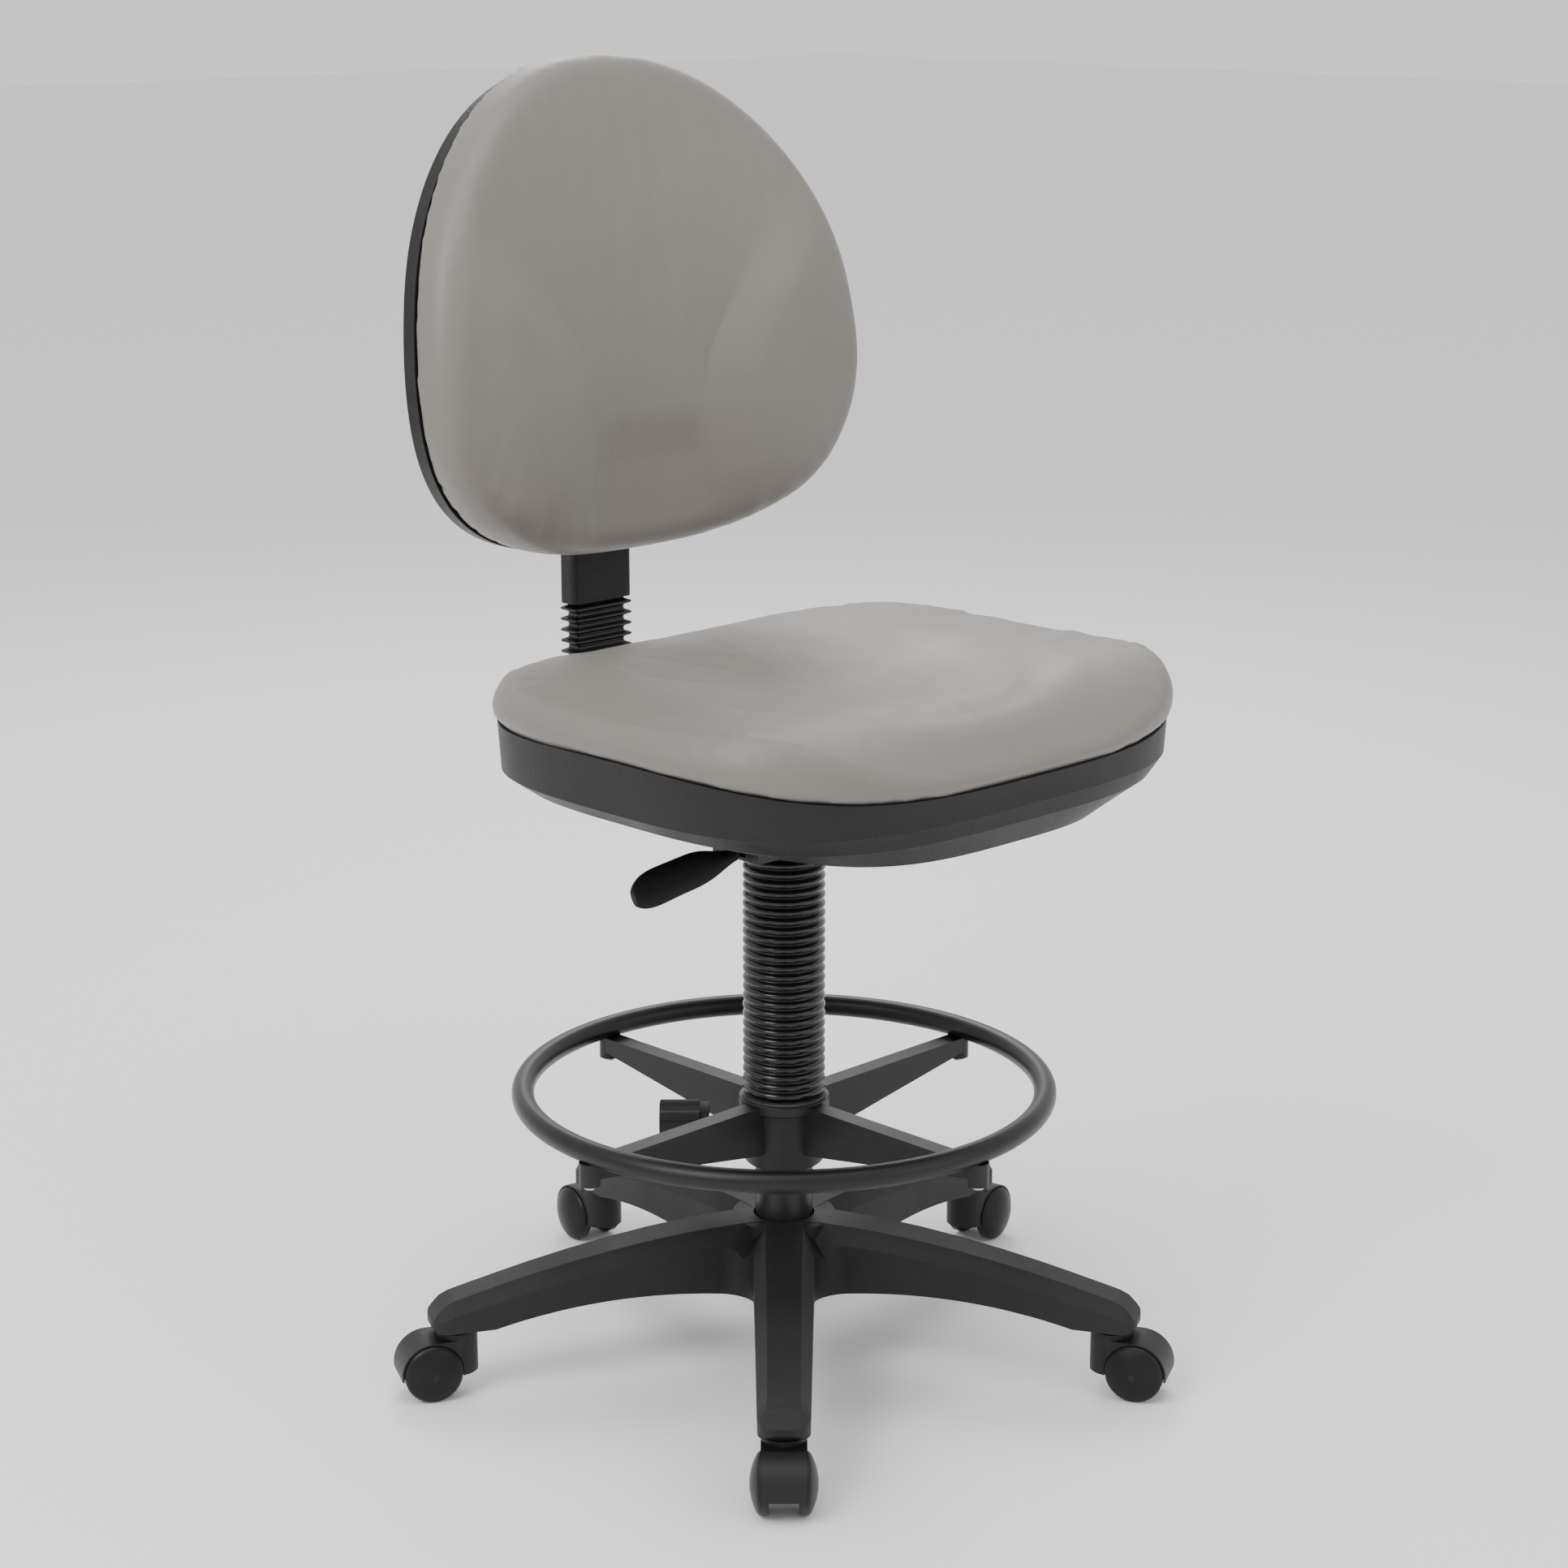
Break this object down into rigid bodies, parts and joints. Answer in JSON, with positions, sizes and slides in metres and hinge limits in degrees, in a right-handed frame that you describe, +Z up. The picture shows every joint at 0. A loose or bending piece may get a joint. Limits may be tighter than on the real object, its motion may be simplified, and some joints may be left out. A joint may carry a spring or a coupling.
{
  "type": "drafting chair",
  "caption": "Height-adjustable drafting chair with a five-arm caster base, foot ring, bellows-covered gas column and contoured vinyl seat and back.",
  "frame": {"origin": "on the floor, under the column axis", "axes": "+Z up; the seat faces -Y; the sitter's right hand is at -X"},
  "size_m": [0.6626, 0.6589, 1.1105],
  "materials": {
    "base_plastic": "fine spark-eroded grain",
    "caster_plastic": "satin",
    "wheel_plastic": "satin",
    "bright_steel": "zinc plated",
    "painted_steel": "black powder coat",
    "spring_tube": "satin black",
    "painted_casting": "black powder coat on a casting",
    "bush_plastic": "satin",
    "bellows_plastic": "glossy black",
    "accordion_plastic": "semi-gloss black",
    "shell_plastic": "grained black",
    "vinyl": "smooth grey-taupe vinyl with a fine grain",
    "plywood": "birch plywood"
  },
  "bodies": {
    "base": {"star_base": "base_plastic", "hub_ring": "bright_steel", "column_tube": "painted_steel", "guide_bush": "bush_plastic", "thrust_bearing": "bright_steel", "caster_1_stem": "bright_steel", "caster_2_stem": "bright_steel", "caster_3_stem": "bright_steel", "caster_4_stem": "bright_steel", "caster_5_stem": "bright_steel"},
    "gas_rod": {"piston_rod": "bright_steel", "piston": "bush_plastic", "rod_clip": "bright_steel"},
    "seat": {"pressure_tube": "spring_tube", "column_bellows": "bellows_plastic", "mechanism_housing": "painted_steel", "taper_socket": "bright_steel", "lever_pivot_pin": "bright_steel", "seat_board": "plywood", "seat_pan": "shell_plastic", "seat_cushion": "vinyl", "seat_screws": "bright_steel", "j_bar": "painted_steel", "j_bar_bolts": "bright_steel", "j_bar_accordion": "accordion_plastic"},
    "release_pin": {"release_pin": "bright_steel"},
    "lever": {"lever_rod": "painted_steel", "lever_paddle": "base_plastic"},
    "footring": {"footring_hub": "painted_casting", "footring_tube": "painted_steel", "footring_screws": "bright_steel", "footring_bush": "bush_plastic"},
    "footring_knob": {"footring_knob": "base_plastic", "footring_stud": "bright_steel"},
    "back": {"ratchet_bracket": "painted_steel", "j_bar_sleeve": "shell_plastic", "back_shell": "shell_plastic", "back_board": "plywood", "back_cushion": "vinyl", "back_screws": "bright_steel"},
    "caster_1": {"caster_1_housing": "caster_plastic", "caster_1_axle": "bright_steel"},
    "caster_1_left": {"caster_1_left_wheel": "wheel_plastic"},
    "caster_1_right": {"caster_1_right_wheel": "wheel_plastic"},
    "caster_2": {"caster_2_housing": "caster_plastic", "caster_2_axle": "bright_steel"},
    "caster_2_left": {"caster_2_left_wheel": "wheel_plastic"},
    "caster_2_right": {"caster_2_right_wheel": "wheel_plastic"},
    "caster_3": {"caster_3_housing": "caster_plastic", "caster_3_axle": "bright_steel"},
    "caster_3_left": {"caster_3_left_wheel": "wheel_plastic"},
    "caster_3_right": {"caster_3_right_wheel": "wheel_plastic"},
    "caster_4": {"caster_4_housing": "caster_plastic", "caster_4_axle": "bright_steel"},
    "caster_4_left": {"caster_4_left_wheel": "wheel_plastic"},
    "caster_4_right": {"caster_4_right_wheel": "wheel_plastic"},
    "caster_5": {"caster_5_housing": "caster_plastic", "caster_5_axle": "bright_steel"},
    "caster_5_left": {"caster_5_left_wheel": "wheel_plastic"},
    "caster_5_right": {"caster_5_right_wheel": "wheel_plastic"}
  },
  "joints": [
    {"name": "caster_1_swivel", "type": "hinge", "parent": "base", "child": "caster_1", "pos_m": [-0.20492, -0.21221, 0.06], "axis": [0, 0, 1], "continuous": true},
    {"name": "caster_1_left_spin", "type": "hinge", "parent": "caster_1", "child": "caster_1_left", "pos_m": [-0.22111, -0.22897, 0.025], "axis": [0.7193, -0.6947, 0], "continuous": true},
    {"name": "caster_1_right_spin", "type": "hinge", "parent": "caster_1", "child": "caster_1_right", "pos_m": [-0.22111, -0.22897, 0.025], "axis": [0.7193, -0.6947, 0], "continuous": true},
    {"name": "caster_2_swivel", "type": "hinge", "parent": "base", "child": "caster_2", "pos_m": [0.13849, -0.26047, 0.06], "axis": [0, 0, 1], "continuous": true},
    {"name": "caster_2_left_spin", "type": "hinge", "parent": "caster_2", "child": "caster_2_left", "pos_m": [0.14943, -0.28104, 0.025], "axis": [0.8829, 0.4695, 0], "continuous": true},
    {"name": "caster_2_right_spin", "type": "hinge", "parent": "caster_2", "child": "caster_2_right", "pos_m": [0.14943, -0.28104, 0.025], "axis": [0.8829, 0.4695, 0], "continuous": true},
    {"name": "caster_3_swivel", "type": "hinge", "parent": "base", "child": "caster_3", "pos_m": [0.29052, 0.05123, 0.06], "axis": [0, 0, 1], "continuous": true},
    {"name": "caster_3_left_spin", "type": "hinge", "parent": "caster_3", "child": "caster_3_left", "pos_m": [0.31346, 0.05527, 0.025], "axis": [-0.1736, 0.9848, 0], "continuous": true},
    {"name": "caster_3_right_spin", "type": "hinge", "parent": "caster_3", "child": "caster_3_right", "pos_m": [0.31346, 0.05527, 0.025], "axis": [-0.1736, 0.9848, 0], "continuous": true},
    {"name": "caster_4_swivel", "type": "hinge", "parent": "base", "child": "caster_4", "pos_m": [0.04106, 0.29213, 0.06], "axis": [0, 0, 1], "continuous": true},
    {"name": "caster_4_left_spin", "type": "hinge", "parent": "caster_4", "child": "caster_4_left", "pos_m": [0.0443, 0.3152, 0.025], "axis": [-0.9903, 0.1392, 0], "continuous": true},
    {"name": "caster_4_right_spin", "type": "hinge", "parent": "caster_4", "child": "caster_4_right", "pos_m": [0.0443, 0.3152, 0.025], "axis": [-0.9903, 0.1392, 0], "continuous": true},
    {"name": "caster_5_swivel", "type": "hinge", "parent": "base", "child": "caster_5", "pos_m": [-0.26514, 0.12932, 0.06], "axis": [0, 0, 1], "continuous": true},
    {"name": "caster_5_left_spin", "type": "hinge", "parent": "caster_5", "child": "caster_5_left", "pos_m": [-0.28609, 0.13953, 0.025], "axis": [-0.4384, -0.8988, 0], "continuous": true},
    {"name": "caster_5_right_spin", "type": "hinge", "parent": "caster_5", "child": "caster_5_right", "pos_m": [-0.28609, 0.13953, 0.025], "axis": [-0.4384, -0.8988, 0], "continuous": true},
    {"name": "seat_swivel", "type": "hinge", "parent": "base", "child": "gas_rod", "pos_m": [0, 0, 0.07], "axis": [0, 0, 1], "continuous": true},
    {"name": "seat_height", "type": "slide", "parent": "gas_rod", "child": "seat", "axis": [0, 0, 1], "range_m": [0, 0.19], "deforming": ["column_bellows"]},
    {"name": "lever_lift", "type": "hinge", "parent": "seat", "child": "lever", "pos_m": [-0.042, 0, 0.486], "axis": [0, 1, 0], "range_deg": [0, 4.8], "stiffness_Nm_per_rad": 4, "springref_deg": -5.73},
    {"name": "release_pin_press", "type": "slide", "parent": "seat", "child": "release_pin", "axis": [0, 0, -1], "range_m": [0, 0.0036]},
    {"name": "footring_height", "type": "slide", "parent": "base", "child": "footring", "axis": [0, 0, 1], "range_m": [-0.04, 0]},
    {"name": "footring_knob_turn", "type": "hinge", "parent": "footring", "child": "footring_knob", "pos_m": [-0.05755, 0.05557, 0.212], "axis": [-0.7193, 0.6947, 0], "range_deg": [0, 360]},
    {"name": "back_height", "type": "slide", "parent": "seat", "child": "back", "axis": [0, 0, 1], "range_m": [0, 0.065], "deforming": ["j_bar_accordion"]}
  ],
  "couplings": [
    {"joint": "release_pin_press", "follows": "lever_lift", "m_per_rad": 0.042}
  ]
}
